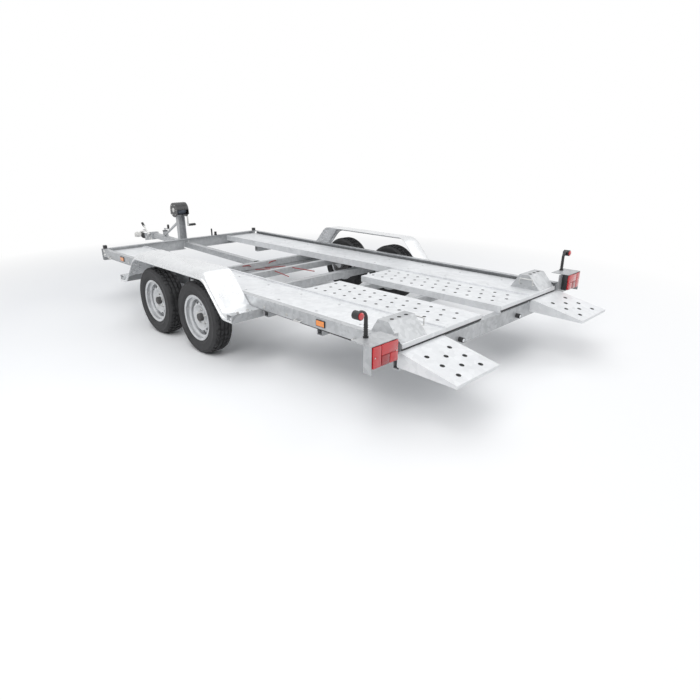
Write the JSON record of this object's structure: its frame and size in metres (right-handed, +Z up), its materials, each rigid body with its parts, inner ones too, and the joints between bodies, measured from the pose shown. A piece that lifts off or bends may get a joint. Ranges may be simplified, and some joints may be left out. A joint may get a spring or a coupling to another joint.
{
  "type": "tilting twin-axle car transporter trailer",
  "caption": "Open flatbed trailer that carries a car on two tracks, with tandem wheels outside the rails, short fixed ramps, a hinged centre drawbar, winch post and jockey wheel.",
  "frame": {"origin": "on the ground under the centre of the whole trailer's box", "axes": "+X forward to the coupling, +Y to the left, +Z up"},
  "size_m": [6.03, 2.578, 0.936],
  "materials": {
    "galvanised_steel": "hot-dip galvanised, spangled",
    "fender_steel": "bright rolled zinc",
    "wheel_steel": "silver lacquer",
    "tyre": "matt",
    "red_lens": "gloss",
    "orange_lens": "gloss",
    "black_plastic": "matt",
    "gaiter_rubber": "matt",
    "solid_rubber": "matt",
    "black_steel": "satin",
    "coated_casting": "satin"
  },
  "bodies": {
    "chassis": {"axle_front": "galvanised_steel", "axle_rear": "galvanised_steel", "cross_member_middle": "galvanised_steel", "cross_member_pivot": "galvanised_steel", "cross_member_rear_1": "galvanised_steel", "cross_member_rear_2": "galvanised_steel", "fender_left": "fender_steel", "fender_right": "fender_steel", "fender_stays_left": "galvanised_steel", "fender_stays_right": "galvanised_steel", "front_beam": "galvanised_steel", "front_markers": "black_plastic", "front_posts": "black_plastic", "lamp_bracket_left": "galvanised_steel", "lamp_bracket_right": "galvanised_steel", "marker_lamp_left": "black_plastic", "marker_lamp_right": "black_plastic", "plate_lamps": "black_plastic", "ramp_guard_left": "galvanised_steel", "ramp_guard_right": "galvanised_steel", "ramp_left": "galvanised_steel", "ramp_right": "galvanised_steel", "rear_beam": "galvanised_steel", "side_rail_left": "galvanised_steel", "side_rail_right": "galvanised_steel", "side_reflectors_left": "orange_lens", "side_reflectors_right": "orange_lens", "tail_lamp_left": "red_lens", "tail_lamp_right": "red_lens", "tilt_bracket": "galvanised_steel", "track_bearer_left": "galvanised_steel", "track_bearer_right": "galvanised_steel", "track_inner_left": "galvanised_steel", "track_inner_right": "galvanised_steel", "track_outer_left": "galvanised_steel", "track_outer_right": "galvanised_steel"},
    "drawbar": {"drawbar": "galvanised_steel", "drawbar_cap": "black_plastic", "coupling_housing": "coated_casting", "coupling_gaiter": "gaiter_rubber", "coupling_head": "galvanised_steel", "handbrake_lever": "galvanised_steel", "winch_post": "galvanised_steel", "winch": "black_steel", "winch_crank": "black_steel", "jockey_clamp": "galvanised_steel", "jockey_tube": "galvanised_steel"},
    "jockey_fork": {"jockey_fork": "galvanised_steel"},
    "jockey_wheel": {"jockey_wheel": "solid_rubber"},
    "wheel_front_left": {"tyre_front_left": "tyre", "rim_front_left": "wheel_steel"},
    "wheel_front_right": {"tyre_front_right": "tyre", "rim_front_right": "wheel_steel"},
    "wheel_rear_left": {"tyre_rear_left": "tyre", "rim_rear_left": "wheel_steel"},
    "wheel_rear_right": {"tyre_rear_right": "tyre", "rim_rear_right": "wheel_steel"}
  },
  "joints": [
    {"name": "drawbar_tilt", "type": "hinge", "parent": "chassis", "child": "drawbar", "pos_m": [0.19, 0, 0.41572], "axis": [0, 1, 0], "range_deg": [0, 9]},
    {"name": "jockey_swivel", "type": "hinge", "parent": "drawbar", "child": "jockey_fork", "pos_m": [2.265, -0.074, 0.221], "axis": [0, 0, 1], "continuous": true},
    {"name": "jockey_spin", "type": "hinge", "parent": "jockey_fork", "child": "jockey_wheel", "pos_m": [2.217, -0.074, 0.1], "axis": [0, 1, 0], "continuous": true},
    {"name": "front_left_spin", "type": "hinge", "parent": "chassis", "child": "wheel_front_left", "pos_m": [-0.035, 1.144, 0.29], "axis": [0, 1, 0], "continuous": true},
    {"name": "front_right_spin", "type": "hinge", "parent": "chassis", "child": "wheel_front_right", "pos_m": [-0.035, -1.144, 0.29], "axis": [0, 1, 0], "continuous": true},
    {"name": "rear_left_spin", "type": "hinge", "parent": "chassis", "child": "wheel_rear_left", "pos_m": [-0.735, 1.144, 0.29], "axis": [0, 1, 0], "continuous": true},
    {"name": "rear_right_spin", "type": "hinge", "parent": "chassis", "child": "wheel_rear_right", "pos_m": [-0.735, -1.144, 0.29], "axis": [0, 1, 0], "continuous": true}
  ]
}
